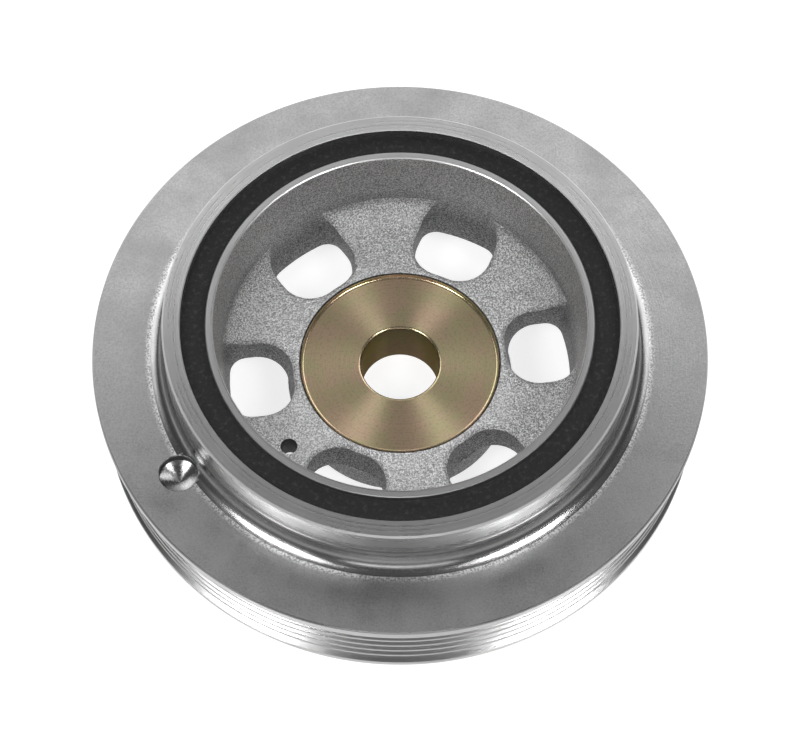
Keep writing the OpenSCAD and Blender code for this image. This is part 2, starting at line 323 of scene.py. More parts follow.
def new_material(name, metallic=0.0):
    """A material, its node tree and its main shader, whose metallic is 0 for rubber and 1 for steel."""
    material = bpy.data.materials.new(name)
    material.use_nodes = True
    tree = material.node_tree
    shader = tree.nodes["Principled BSDF"]
    shader.inputs["Metallic"].default_value = metallic
    return material, tree, shader


def node(tree, kind, **values):
    """A new node. Each value goes to the node's own setting of that name, or else to its socket."""
    made = tree.nodes.new(kind)
    for key, value in values.items():
        if hasattr(made, key):
            setattr(made, key, value)
        else:
            made.inputs[key.replace("_", " ")].default_value = value
    return made


def feed(tree, target, **outputs):
    """Links each output to the target node's socket of that name."""
    for key, output in outputs.items():
        tree.links.new(output, target.inputs[key.replace("_", " ")])


def object_coordinates(tree):
    """The place on the piece, in metres."""
    return node(tree, "ShaderNodeTexCoord").outputs["Object"]


def noise(tree, vector, scale, detail, roughness):
    """Soft noise around 0.5, whose scale counts its patches per metre."""
    made = node(tree, "ShaderNodeTexNoise", Scale=scale, Detail=detail, Roughness=roughness)
    feed(tree, made, Vector=vector)
    return made.outputs["Fac"]


def ramp(tree, value, source, target):
    """Maps a value evenly from the range source to the range target, held at both ends."""
    made = node(tree, "ShaderNodeMapRange", From_Min=source[0], From_Max=source[1],
                To_Min=target[0], To_Max=target[1])
    feed(tree, made, Value=value)
    return made.outputs["Result"]


def maths(tree, operation, a, b=0.0):
    """One step of arithmetic on numbers or outputs."""
    made = node(tree, "ShaderNodeMath", operation=operation)
    for socket, value in ((made.inputs[0], a), (made.inputs[1], b)):
        if isinstance(value, (int, float)):
            socket.default_value = value
        else:
            tree.links.new(value, socket)
    return made.outputs["Value"]


def mixed(tree, factor, a, b):
    """A colour between a and b by factor. Each colour is three numbers or an output."""
    made = node(tree, "ShaderNodeMix", data_type="RGBA")
    tree.links.new(factor, made.inputs["Factor"])
    for socket, value in ((made.inputs[COLOUR_A], a), (made.inputs[COLOUR_B], b)):
        if isinstance(value, (tuple, list)):
            socket.default_value = (*value, 1.0)
        else:
            tree.links.new(value, socket)
    return made.outputs[COLOUR_MIXED]


def shade(rgb, factor):
    """The colour times the factor, never above 1."""
    return tuple(min(1.0, c * factor) for c in rgb)


def bump(tree, shader, height, strength, distance):
    """Tilts the shader's surface as if it stood up by height times distance."""
    made = node(tree, "ShaderNodeBump", Strength=strength, Distance=distance)
    feed(tree, made, Height=height)
    feed(tree, shader, Normal=made.outputs["Normal"])


def ring_coordinates(tree):
    """Radius and height as a vector, so that a pattern on it is drawn as rings round the axis, and the
    radius, which is the root of x squared plus y squared."""
    split = node(tree, "ShaderNodeSeparateXYZ")
    feed(tree, split, Vector=object_coordinates(tree))
    x, y, z = (split.outputs[key] for key in "XYZ")
    squares = maths(tree, "MULTIPLY", x, x), maths(tree, "MULTIPLY", y, y)
    radius = maths(tree, "SQRT", maths(tree, "ADD", *squares))
    joined = node(tree, "ShaderNodeCombineXYZ")
    feed(tree, joined, X=radius, Z=z)
    return joined.outputs["Vector"], radius


def lathe_grain(tree, shader, amount, centre=(0.0, 0.0)):
    """Turning marks run round the centre, so light spreads across them: along the radius on a face, up and
    down on a wall. Their direction is upright crossed with the way out from the centre."""
    place = node(tree, "ShaderNodeVectorMath", operation="SUBTRACT")
    tree.links.new(object_coordinates(tree), place.inputs[0])
    place.inputs[1].default_value = (*centre, 0.0)
    made = node(tree, "ShaderNodeVectorMath", operation="CROSS_PRODUCT")
    made.inputs[0].default_value = (0.0, 0.0, 1.0)
    tree.links.new(place.outputs["Vector"], made.inputs[1])
    unit = node(tree, "ShaderNodeVectorMath", operation="NORMALIZE")
    tree.links.new(made.outputs["Vector"], unit.inputs[0])
    feed(tree, shader, Tangent=unit.outputs["Vector"])
    shader.inputs["Anisotropic"].default_value = amount
    shader.inputs["Anisotropic Rotation"].default_value = 0.25


# Materials

def turned_steel(name, rgb, roughness, ring_depth, grain=0.0, centre=(0.0, 0.0)):
    """Steel straight from the lathe: fine rings in height and gloss, with faint smears across them."""
    material, tree, shader = new_material(name, metallic=1.0)
    rings, _ = ring_coordinates(tree)
    fine = noise(tree, rings, scale=5200.0, detail=2.0, roughness=0.7)
    broad = noise(tree, rings, scale=900.0, detail=2.0, roughness=0.5)
    smear = noise(tree, object_coordinates(tree), scale=45.0, detail=3.0, roughness=0.6)
    dark = shade(rgb, 0.80)
    tone = mixed(tree, ramp(tree, smear, (0.35, 0.70), (0.0, 1.0)), rgb, dark)
    tone = mixed(tree, ramp(tree, fine, (0.30, 0.75), (0.0, 0.35)), tone, dark)
    gloss = maths(tree, "ADD", ramp(tree, broad, (0.30, 0.70), (roughness - 0.05, roughness + 0.05)),
                  ramp(tree, smear, (0.40, 0.70), (0.0, 0.06)))
    feed(tree, shader, Base_Color=tone, Roughness=gloss)
    height = maths(tree, "ADD", fine, maths(tree, "MULTIPLY", broad, 1.5))
    bump(tree, shader, height, strength=0.35, distance=ring_depth)
    if grain:
        lathe_grain(tree, shader, grain, centre)
    return material


def satin_face(name, rgb, foot):
    """The flange's face: finely ground satin steel with smudges and clouding, and painted glints, near-white
    specks, where the collar's fillet begins at the radius named foot."""
    material, tree, shader = new_material(name, metallic=1.0)
    place = object_coordinates(tree)
    rings, radius = ring_coordinates(tree)
    cloud = noise(tree, place, scale=38.0, detail=5.0, roughness=0.68)
    grit = noise(tree, place, scale=1900.0, detail=2.0, roughness=0.7)
    ring = noise(tree, rings, scale=2400.0, detail=2.0, roughness=0.6)
    tone = mixed(tree, ramp(tree, cloud, (0.40, 0.62), (0.0, 1.0)), shade(rgb, 1.08), shade(rgb, 0.82))
    tone = mixed(tree, ramp(tree, grit, (0.42, 0.68), (0.0, 0.6)), tone, shade(rgb, 0.60))
    # Painted glints: near-white specks in the colour along a narrow band just outside the fillet's foot
    near_foot = ramp(tree, radius, (foot, foot + 1.2 * MM), (1.0, 0.0))
    painted_glints = maths(tree, "MULTIPLY", near_foot, ramp(tree, grit, (0.48, 0.54), (1.0, 0.0)))
    feed(tree, shader, Base_Color=mixed(tree, painted_glints, tone, shade(WHITE, 0.95)),
         Roughness=ramp(tree, cloud, (0.35, 0.65), (0.28, 0.40)))
    height = maths(tree, "ADD", grit, maths(tree, "MULTIPLY", ring, 0.6))
    bump(tree, shader, height, strength=0.4, distance=0.08 * MM)
    return material


def cast_skin(name, rgb, low, high):
    """Blasted sand casting: coarse and fine grain that glints, over a faint mould texture. Shade and
    highlight are painted in the colour by the stored tilt: walls get painted shade, most of all below the
    height low, easing off up to the height high, rounded edges get a painted highlight, and flats a lighter
    tone than walls."""
    material, tree, shader = new_material(name, metallic=1.0)
    shader.inputs["Specular Tint"].default_value = (0.75, 0.75, 0.75, 1.0)
    place = object_coordinates(tree)
    coarse = noise(tree, place, scale=750.0, detail=3.0, roughness=0.6)
    fine = noise(tree, place, scale=2300.0, detail=3.0, roughness=0.65)
    cloud = noise(tree, place, scale=60.0, detail=3.0, roughness=0.6)
    grain = ramp(tree, fine, (0.43, 0.59), (0.0, 1.0))

    def grained(dull, glint):
        return mixed(tree, grain, shade(rgb, dull), shade(rgb, glint))

    # Painted shade and highlight: the height alone sets how much painted shade a wall gets, and the stored
    # tilt tells wall (painted shade), rounded edge (painted highlight) and flat apart
    split = node(tree, "ShaderNodeSeparateXYZ")
    feed(tree, split, Vector=place)
    tilt = node(tree, "ShaderNodeAttribute", attribute_name="tilt").outputs["Fac"]
    lift = ramp(tree, split.outputs["Z"], (low, high), (0.0, 1.0))
    # Walls: painted shade, darkest below the height low
    wall = mixed(tree, lift, grained(0.14, 0.48), grained(0.40, 0.98))
    # Rounded edges and fillets: painted highlight
    edge = mixed(tree, ramp(tree, tilt, (0.18, 0.45), (0.0, 1.0)), wall, grained(0.50, 1.56))
    flat = mixed(tree, ramp(tree, cloud, (0.40, 0.65), (0.0, 0.3)), grained(0.52, 1.45), shade(rgb, 1.08))
    feed(tree, shader, Base_Color=mixed(tree, ramp(tree, tilt, (0.80, 0.97), (0.0, 1.0)), edge, flat),
         Roughness=ramp(tree, fine, (0.30, 0.70), (0.55, 0.40)))
    height = maths(tree, "ADD", coarse, maths(tree, "MULTIPLY", fine, 0.5))
    bump(tree, shader, height, strength=1.0, distance=0.9 * MM)
    return material


def passivated(name, rgb, roughness, metallic, grain, lean=0.0, edge_tint=WHITE):
    """Yellow passivation on turned steel: olive, with brown and green clouds and fine turning rings whose
    flanks lean outward a little."""
    material, tree, shader = new_material(name, metallic)
    shader.inputs["Specular Tint"].default_value = (*edge_tint, 1.0)
    place = object_coordinates(tree)
    rings, radius = ring_coordinates(tree)
    cloud = noise(tree, place, scale=85.0, detail=5.0, roughness=0.72)
    speck = noise(tree, place, scale=1500.0, detail=2.0, roughness=0.6)
    fine = noise(tree, rings, scale=3000.0, detail=2.0, roughness=0.7)
    green = (rgb[0] * 0.88, rgb[1] * 0.95, rgb[2] * 0.80)
    brown = (rgb[0] * 1.05, rgb[1] * 0.93, rgb[2] * 0.95)
    dark = shade(rgb, 0.62)
    tone = mixed(tree, ramp(tree, cloud, (0.42, 0.58), (0.0, 1.0)), green, brown)
    tone = mixed(tree, ramp(tree, speck, (0.50, 0.72), (0.0, 0.8)), tone, dark)
    tone = mixed(tree, ramp(tree, fine, (0.42, 0.66), (0.0, 0.45)), tone, dark)
    feed(tree, shader, Base_Color=tone,
         Roughness=ramp(tree, cloud, (0.30, 0.70), (roughness - 0.05, roughness + 0.06)))
    rise = maths(tree, "MULTIPLY", fine, 0.02 * MM)
    height = maths(tree, "SUBTRACT", rise, maths(tree, "MULTIPLY", radius, lean))
    bump(tree, shader, height, strength=1.0, distance=1.0)
    lathe_grain(tree, shader, grain)
    return material


def moulded_rubber(name, rgb):
    """Dull black rubber with a little dust and a fine moulded skin."""
    material, tree, shader = new_material(name)
    shader.inputs["Specular IOR Level"].default_value = 0.30
    place = object_coordinates(tree)
    dust = noise(tree, place, scale=700.0, detail=4.0, roughness=0.7)
    skin = noise(tree, place, scale=1800.0, detail=3.0, roughness=0.6)
    dusty = tuple(c * 3.0 + 0.008 for c in rgb)
    feed(tree, shader, Base_Color=mixed(tree, ramp(tree, dust, (0.52, 0.75), (0.0, 1.0)), rgb, dusty),
         Roughness=ramp(tree, skin, (0.30, 0.70), (0.55, 0.75)))
    bump(tree, shader, skin, strength=0.5, distance=0.15 * MM)
    return material


# Pieces

def ring_outline(s):
    """The outer ring's section, from the bore's rear edge round by the lip, grooves, flange and collar. A
    groove is as wide as the pitch less a rib's tip, and narrows by the tangent of half its angle."""
    bore = RUBBER_HIGH.x
    rear, top, outer = RING_LOW.z, RING_HIGH.z, RING_HIGH.x
    flange = top - s.collar_height
    collar = bore + s.collar_wall
    foot = collar + s.step
    rib, lip = s.rib_diameter / 2, s.lip_diameter / 2
    slope = math.tan(s.groove_angle / 2)
    mouth = (s.groove_pitch - s.rib_tip) / 2
    root = mouth - s.groove_depth * slope
    deep = rib - s.groove_depth
    ease = 0.12 * MM
    root_rise, root_widen = 0.15 * MM, 0.05 * MM
    centres = flange - s.groove_first - s.groove_pitch * np.arange(s.groove_count)[::-1]
    lip_flank = centres[0] - mouth - (lip - rib) * slope
    flange_flank = centres[-1] + mouth + (outer - s.flange_edge - rib) * slope
    grooves = []
    for z in centres:
        if z > centres[0]:
            grooves += [[rib, z - mouth - ease], [rib - ease, z - mouth + ease * slope]]
        grooves += [[deep + root_rise, z - root - root_widen], [deep, z - root * 0.5],
                    [deep, z + root * 0.5], [deep + root_rise, z + root + root_widen]]
        if z < centres[-1]:
            grooves += [[rib - ease, z + mouth - ease * slope], [rib, z + mouth + ease]]
    outline = path(
        [bore, rear + s.bore_edge], [bore + s.bore_edge, rear],
        [lip - s.lip_edge, rear], [lip, rear + s.lip_edge], [lip, lip_flank],
        grooves,
        [outer - s.flange_edge, flange_flank], [outer, flange_flank + s.flange_edge],
        [outer, flange - s.flange_edge], [outer - s.flange_edge, flange],
        arc((foot + s.fillet, flange + s.fillet), s.fillet, 270, 180, 14),
        [foot, flange + s.step_height], [collar, flange + s.step_height],
        [collar, top - s.collar_edge], [collar - s.collar_edge, top],
        [bore + s.bore_edge, top], [bore, top - s.bore_edge])
    return outline, flange, collar, foot


def add_outer_ring(s):
    """The ring's section is carried round the axis, and the drill's shape is taken out of the flange: a
    straight wall on a cone, whose depth is the radius over the tangent of half its angle."""
    outline, flange, collar, foot = ring_outline(s)
    piece = make_piece("outer_ring_turned", [(revolved(outline, 360), True, ON_WALLS)])
    r = s.dimple_diameter / 2
    depth = s.dimple_wall + r / math.tan(s.dimple_point / 2)
    ease = 0.18 * MM
    centre = spot(s.dimple_at, s.dimple_turn)
    profile = path([0.0, -depth], [r, -s.dimple_wall], [r, -ease], [r + ease, 0.0], [r + ease, s.fillet],
                   [0.0, s.fillet])
    drill(piece, profile, 96, centre, flange)

    # Each face takes its finish, painted shade or painted highlight by where its middle lies and how far it
    # looks up
    mesh = piece.data
    x, y, z = per_face(mesh, "center").T
    up = per_face(mesh, "normal")[:, 2]
    radius = np.hypot(x, y)
    hair, level = 0.02 * MM, 0.99
    on_flange = (np.abs(z - flange) < hair) & (up > level)
    beside = (z > flange - depth - ease) & (radius > collar)
    in_dimple = (np.hypot(x - centre[0], y - centre[1]) < r + 2 * ease) & beside & ~on_flange
    in_fillet = (radius > foot) & (radius < foot + s.fillet) & (z > flange) & (z < flange + s.fillet)
    index = np.full(len(mesh.polygons), ON_WALLS, np.int32)
    index[on_flange] = ON_FLANGE
    index[(z > RING_HIGH.z - hair) & (up > level)] = ON_RIM
    index[in_dimple] = IN_DIMPLE
    index[in_fillet & ~in_dimple & ~on_flange] = ON_FILLET
    # Dimple walls: painted shade
    index[in_dimple & (up < 0.2)] = ON_SHADED_DIMPLE_WALL
    # The collar's top edge breaks: painted highlight
    index[(up > 0.3) & (up < 0.9) & (z > RING_HIGH.z - s.collar_edge)] = ON_HIGHLIT_RING_BREAK
    rgb = tuple(s.steel)
    mesh.materials.clear()
    for material in (
            turned_steel("turned_steel_walls", rgb, roughness=0.27, ring_depth=0.06 * MM, grain=0.74),
            satin_face("satin_flange", shade(rgb, 1.12), foot + s.fillet),
            turned_steel("turned_steel_rim", shade(rgb, 1.24), roughness=0.28, ring_depth=0.08 * MM,
                         grain=0.15),
            turned_steel("drilled_steel", rgb, roughness=0.26, ring_depth=0.03 * MM, grain=0.85,
                         centre=centre),
            turned_steel("turned_steel_fillet", rgb, roughness=0.20, ring_depth=0.05 * MM, grain=0.7),
            # Edge breaks: painted highlight, steel near white
            turned_steel("broken_edge", shade(WHITE, 0.80), roughness=0.45, ring_depth=0.03 * MM),
            # The dimple's wall: painted shade, the steel at 0.3 of its colour
            turned_steel("dimple_wall", shade(rgb, 0.3), roughness=0.35, ring_depth=0.03 * MM)):
        mesh.materials.append(material)
    mesh.polygons.foreach_set("material_index", index)
    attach(piece, BODY)
    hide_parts("outer_ring")


def add_rubber(s):
    """A ring whose front face is slightly hollow and wanders at both edges, as squeezed rubber does. The
    hollow is a parabola across the ring, and the wandering grows by the fourth power towards its edges."""
    inner, outer = HUB_HIGH.x, RUBBER_HIGH.x
    low, top = RUBBER_LOW.z, RUBBER_HIGH.z
    sunk, hollow_depth = 0.05 * MM, 0.45 * MM
    across = np.linspace(0.0, 1.0, 15)
    hollow = hollow_depth * (1 - (2 * across - 1) ** 2)
    front = np.stack([inner + (outer - inner) * across, top - sunk - hollow], axis=-1)
    outline = path([inner, low], front, [outer, low])
    points = revolved(outline, 540)
    uneven = wander(points, s.raggedness, 6 * MM, 3) + wander(points, s.raggedness * 0.5, 2.2 * MM, 4)
    face = np.zeros(len(outline))
    face[1:-1] = 0.35 + 0.65 * np.abs(2 * across - 1) ** 4
    points[..., 2] = np.minimum(points[..., 2] + uneven * face[:, None], top)
    piece = make_piece("rubber_ring_moulded", [(points, True, 0)])
    piece.data.materials.append(moulded_rubber("moulded_rubber", tuple(s.black)))
    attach(piece, BODY)
    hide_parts("rubber_ring")


class HubShape:
    """The casting's measures, and the curves that its patches share."""

    def __init__(self, s, insert):
        self.s = s
        self.barrel = HUB_HIGH.x
        self.top = HUB_HIGH.z
        self.rear = s.web_lift
        self.front = s.web_lift + s.web_thickness
        self.taper = (s.foot - s.wall) / (self.top - self.rear)
        self.lean = math.sqrt(1 + self.taper ** 2)
        self.fillet_z = self.front + s.fillet
        self.fillet_r = self.wall(self.fillet_z) - s.fillet * self.lean
        self.seam_z = self.fillet_z - s.fillet * self.taper / self.lean
        self.boss = s.boss_diameter / 2
        self.half = s.window_width / 2
        self.sector = math.pi / s.window_count
        self.joint = INSERT_HIGH.x + insert.joint_width
        self.bore = INSERT_HIGH.x + insert.clearance
        self.joint_z = self.front - insert.joint_depth

    def wall(self, z):
        """Radius of the bowl's inner wall: a cone, wider by the taper for each step up."""
        return self.barrel - self.s.foot + self.taper * (z - self.rear)

    def web(self, r):
        """Height of the web's front at radius r: flat, then a quarter circle up to the wall."""
        fillet = self.s.fillet
        rise = fillet - np.sqrt(np.maximum(0.0, fillet ** 2 - np.maximum(r - self.fillet_r, 0.0) ** 2))
        return np.minimum(self.front + rise, self.seam_z)

    def outline(self, wall_r, boss_r, corner_count, side_count, boss_count):
        """A window's outline from the wall to the middle of the boss's side, with its outward directions:
        an outer corner, a straight side along the middle line, an inner corner and an arc on the boss. A
        corner's centre lies its own radius inside the wall or outside the boss, and the same away from the
        straight side."""
        outer_corner, inner_corner = self.s.outer_corner, self.s.inner_corner
        outer_r, inner_r = wall_r - outer_corner, boss_r + inner_corner
        outer_turn = math.asin((self.half - outer_corner) / outer_r)
        inner_turn = math.asin((self.half - inner_corner) / inner_r)
        outer_x, outer_y = spot(outer_r, outer_turn)
        inner_x, inner_y = spot(inner_r, inner_turn)
        a = np.linspace(outer_turn, math.pi / 2, corner_count)
        outer = np.stack([outer_x + outer_corner * np.cos(a), outer_y + outer_corner * np.sin(a),
                          np.cos(a), np.sin(a)], axis=-1)
        along = np.linspace(outer_x, inner_x, side_count)[1:-1]
        flat = np.zeros(len(along))
        side = np.stack([along, flat + self.half, flat, flat + 1.0], axis=-1)
        b = np.linspace(math.pi / 2, inner_turn + math.pi, 2 * corner_count - 1)
        inner = np.stack([inner_x + inner_corner * np.cos(b), inner_y + inner_corner * np.sin(b),
                          np.cos(b), np.sin(b)], axis=-1)
        c = np.linspace(inner_turn, 0.0, boss_count)[1:]
        boss = np.stack([boss_r * np.cos(c), boss_r * np.sin(c), -np.cos(c), -np.sin(c)], axis=-1)
        return np.concatenate([outer, side, inner, boss]), outer_turn, inner_turn


def hub_grids(s, h):
    """All patches of the casting. One half sector, from a window's middle line to a spoke's, is worked out,
    mirrored, and carried round by the number of windows. A patch holds radius, angle and height at each
    point, and most run straight from one border to another: one minus the share, times the first, plus the
    share times the second."""
    corner_count, side_count, boss_count = 9, 12, 6
    edge_steps, wall_steps, web_steps = 8, 9, 9
    seam_r = h.wall(h.seam_z)
    rear_r = h.wall(h.rear)
    boss_rear = h.boss + s.boss_draft
    top, outer_turn, inner_turn = h.outline(seam_r, h.boss, corner_count, side_count, boss_count)
    low, _, _ = h.outline(rear_r, boss_rear, corner_count, side_count, boss_count)
    count = len(top)
    first_inner = corner_count + side_count - 2
    last_inner = first_inner + 2 * corner_count - 2
    web_share = np.linspace(0.0, 1.0, web_steps)[None, :]

    # The rounded edge is a quarter circle that fades out where the window's corner runs into the wall
    fade = np.ones(count)
    fade[:corner_count] = np.linspace(0.0, 1.0, corner_count) ** 0.6
    edge = (s.window_edge * fade)[:, None]
    bend = np.linspace(0.0, math.pi / 2, edge_steps)[None, :]
    out, down = edge * (1 - np.cos(bend)), edge * (1 - np.sin(bend))
    x = top[:, 0][:, None] + out * top[:, 2][:, None]
    y = top[:, 1][:, None] + out * top[:, 3][:, None]
    r, a = np.hypot(x, y), np.arctan2(y, x)
    rounded = np.stack([r, a, h.web(r) - down], axis=-1)
    rounded[0, :, :] = (seam_r, outer_turn, h.seam_z)

    # The far border of the front strip: down the spoke's middle line, then along the joint groove to the
    # window's middle line. The turn into the groove comes at the middle of the inner corner.
    middle = (first_inner + last_inner) // 2
    edge_r, edge_a = rounded[:, -1, 0], rounded[:, -1, 1]
    border_r = np.full(count, h.joint)
    run = (edge_r[:middle + 1] - edge_r[middle]) / (edge_r[0] - edge_r[middle])
    border_r[:middle + 1] = h.joint + (seam_r - h.joint) * run
    border_a = np.full(count, h.sector)
    swing = np.linspace(0.0, 1.0, last_inner - middle + 1)
    border_a[middle:last_inner + 1] = h.sector + (inner_turn - h.sector) * swing
    border_a[last_inner:] = np.arctan2(top[last_inner:, 1], top[last_inner:, 0])
    strip_r = between(edge_r[:, None], border_r[:, None], web_share[:, 1:])
    strip_a = between(edge_a[:, None], border_a[:, None], web_share[:, 1:])
    strip = np.stack([strip_r, strip_a, h.web(strip_r)], axis=-1)
    strip[0, :, 0], strip[0, :, 2] = seam_r, h.seam_z
    front = np.concatenate([rounded, strip], axis=1)

    # The window's own wall, from the rounded edge down to the web's rear face
    low_r, low_a = np.hypot(low[:, 0], low[:, 1]), np.arctan2(low[:, 1], low[:, 0])
    start_r, start_a, start_z = np.moveaxis(rounded[:, :1, :], -1, 0)
    wall_share = np.linspace(0.0, 1.0, wall_steps)[None, :]
    side_wall = np.stack([between(start_r, low_r[:, None], wall_share),
                          between(start_a, low_a[:, None], wall_share),
                          between(start_z, h.rear, wall_share)], axis=-1)

    # The bowl's wall behind the window, between its two corners
    fall_r, fall_a, fall_z = side_wall[0].T
    behind = np.stack(np.broadcast_arrays(fall_r, fall_a * wall_share.T, fall_z), axis=-1)

    # The web's rear face, from the window's outline to the spoke's middle line
    rear_run = (low_r[0] - low_r[:last_inner + 1]) / (low_r[0] - low_r[last_inner])
    border = rear_r + (boss_rear - rear_r) * rear_run
    back_r = between(low_r[:last_inner + 1, None], border[:, None], web_share)
    back_a = between(low_a[:last_inner + 1, None], h.sector, web_share)
    back = np.stack([back_r, back_a, np.full(back_r.shape, h.rear)], axis=-1)

    # Angles along the circles where turned walls meet these patches
    seam_turns = np.concatenate([behind[:, 0, 1], front[0, edge_steps:, 1]])
    rear_turns = np.concatenate([behind[:, -1, 1], back[0, 1:, 1]])
    boss_turns = np.concatenate([low_a[last_inner:][::-1], back[-1, 1:, 1]])
    joint_turns = border_a[middle:][::-1]

    def turned_patch(outline, start_turns, end_turns):
        """Radius and height follow the outline, and the angles go over evenly from start to end."""
        share = np.linspace(0.0, 1.0, len(outline))[:, None]
        turns = between(start_turns[None, :], end_turns[None, :], share)
        return np.stack(np.broadcast_arrays(outline[:, :1], turns, outline[:, 1:]), axis=-1)

    # The barrel, from the seam up over the rim and down to its rear face
    rim, rim_edge = h.wall(h.top), s.rim_edge
    barrel = turned_patch(path(
        [seam_r, h.seam_z], [rim - 0.3 * rim_edge, h.top - rim_edge], [rim + rim_edge, h.top],
        [h.barrel - rim_edge, h.top], [h.barrel, h.top - rim_edge], [h.barrel, h.rear + rim_edge],
        [h.barrel - rim_edge, h.rear], [rear_r, h.rear]),
        seam_turns, rear_turns)

    # The boss behind the web, its bore, and the joint groove at the front
    boss_top = boss_rear + s.boss_step
    boss_foot = boss_top - s.boss_rear_draft
    boss = turned_patch(path(
        [boss_rear, h.rear], [boss_top, h.rear], [boss_foot, s.boss_edge], [boss_foot - s.boss_edge, 0.0],
        [h.bore, 0.0], [h.bore, h.joint_z], [h.joint, h.joint_z], [h.joint, h.front]),
        boss_turns, joint_turns)

    patches = ((front, ON_CASTING), (side_wall, ON_CASTING), (behind, ON_CASTING), (back, ON_CASTING),
               (barrel[:2], ON_CASTING), (barrel[1:], ON_MACHINED), (boss, ON_CASTING))
    grids = []
    for patch, slot in patches:
        for k in range(s.window_count):
            for side in (1, -1):
                turn = s.window_turn + 2 * h.sector * k + side * patch[..., 1]
                grids.append((polar(patch[..., 0], turn, patch[..., 2]), False, slot))
    return grids


def add_hub(s, insert):
    """The casting closes up from its patches, and the small hole is drilled through its spoke."""
    h = HubShape(s, insert)
    piece = make_piece("hub_cast", hub_grids(s, h), merge=2e-6)
    r = s.hole_diameter / 2
    centre = spot(s.hole_at, s.hole_turn)
    low, high = h.rear - MM, h.front + 4 * MM
    drill(piece, path([0.0, low], [r, low], [r, high], [0.0, high]), 64, centre, 0.0)
    mesh = piece.data
    keep_tilt(mesh)
    index = np.zeros(len(mesh.polygons), np.int32)
    mesh.polygons.foreach_get("material_index", index)
    x, y, z = per_face(mesh, "center").T
    up = per_face(mesh, "normal")[:, 2]
    # The small hole's wall: painted shade
    index[np.hypot(x - centre[0], y - centre[1]) < r + 0.01 * MM] = IN_SHADED_HOLE
    # The hub rim's edge break: painted highlight
    index[(z > h.top - s.rim_edge) & (up > 0.3) & (up < 0.95)] = ON_HIGHLIT_HUB_BREAK
    mesh.materials.clear()
    for material in (
            cast_skin("cast_skin", tuple(s.alloy), h.front, h.fillet_z + 4 * MM),
            turned_steel("machined_alloy", shade(WHITE, 0.56), roughness=0.30, ring_depth=0.06 * MM,
                         grain=0.15),
            # Painted shade inside the small hole: alloy at 0.05 white
            turned_steel("drilled_alloy", shade(WHITE, 0.05), roughness=0.55, ring_depth=0.03 * MM),
            # Edge break on the hub rim: painted highlight, lighter than the machined alloy
            turned_steel("broken_alloy_edge", shade(WHITE, 0.75), roughness=0.40, ring_depth=0.03 * MM)):
        mesh.materials.append(material)
    mesh.polygons.foreach_set("material_index", index)
    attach(piece, BODY)
    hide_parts("hub")


def add_insert(s):
    """The insert's section, carried round the axis: straight walls, a cove inside the raised rim and a
    rounded edge at the bore."""
    outer, top = INSERT_HIGH.x, INSERT_HIGH.z
    bore = s.bore_diameter / 2
    face = top - s.face_drop
    foot = outer - s.rim_flat - s.slope
    rear_break, front_break, cove = 0.3 * MM, 0.12 * MM, 0.9 * MM
    outline = path(
        [bore, s.bore_rear_edge], [bore + s.bore_rear_edge, 0.0],
        [outer - rear_break, 0.0], [outer, rear_break],
        [outer, top - front_break], [outer - front_break, top], [outer - s.rim_flat, top],
        arc((foot, face + cove), cove, 318, 270, 6),
        arc((bore + s.bore_edge, face - s.bore_edge), s.bore_edge, 90, 180, 8))
    piece = make_piece("centre_insert_turned", [(revolved(outline, 288), True, ON_FACE)])
    mesh = piece.data
    x, y, height = per_face(mesh, "center").T
    radius = np.hypot(x, y)
    index = np.full(len(mesh.polygons), ON_FACE, np.int32)
    # The raised rim and the bore's rounded edge: painted highlight
    index[(radius > foot) | ((radius < bore + s.bore_edge) & (height > face - s.bore_edge))] = ON_HIGHLIT_INSERT_EDGE
    # The bore: painted shade
    index[radius < bore + 0.1 * MM] = IN_SHADED_BORE
    mesh.polygons.foreach_set("material_index", index)
    rgb = tuple(s.olive)
    for material in (
            passivated("passivated_face", rgb, roughness=0.50, metallic=0.8, grain=0.93, lean=0.075),
            # Painted shade in the bore: the olive at 0.28
            passivated("passivated_bore", shade(rgb, 0.28), roughness=0.40, metallic=1.0, grain=0.7,
                       edge_tint=(0.55, 0.48, 0.36)),
            # Painted highlight on the insert's edges: the olive at 1.5
            passivated("passivated_edge", shade(rgb, 1.5), roughness=0.24, metallic=1.0, grain=0.5)):
        mesh.materials.append(material)
    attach(piece, BODY)
    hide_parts("centre_insert")


# Stage

def lamp(name, place, width, height, watts):
    """A softbox that faces the part."""
    data = bpy.data.lights.new(name, "AREA")
    data.shape = "RECTANGLE"
    data.size, data.size_y = width, height
    data.energy = watts
    made = bpy.data.objects.new(name, data)
    made.location = place
    made.rotation_euler = (Vector(LAMP_TARGET) - Vector(place)).to_track_quat("-Z", "Y").to_euler()
    bpy.context.scene.collection.objects.link(made)


def white_share(tree, rays):
    """1 for rays from the camera, off gloss or through glass, 0 for the rays that light the part."""
    total = maths(tree, "MAXIMUM", rays.outputs["Is Camera Ray"], rays.outputs["Is Glossy Ray"])
    return maths(tree, "MAXIMUM", total, rays.outputs["Is Transmission Ray"])


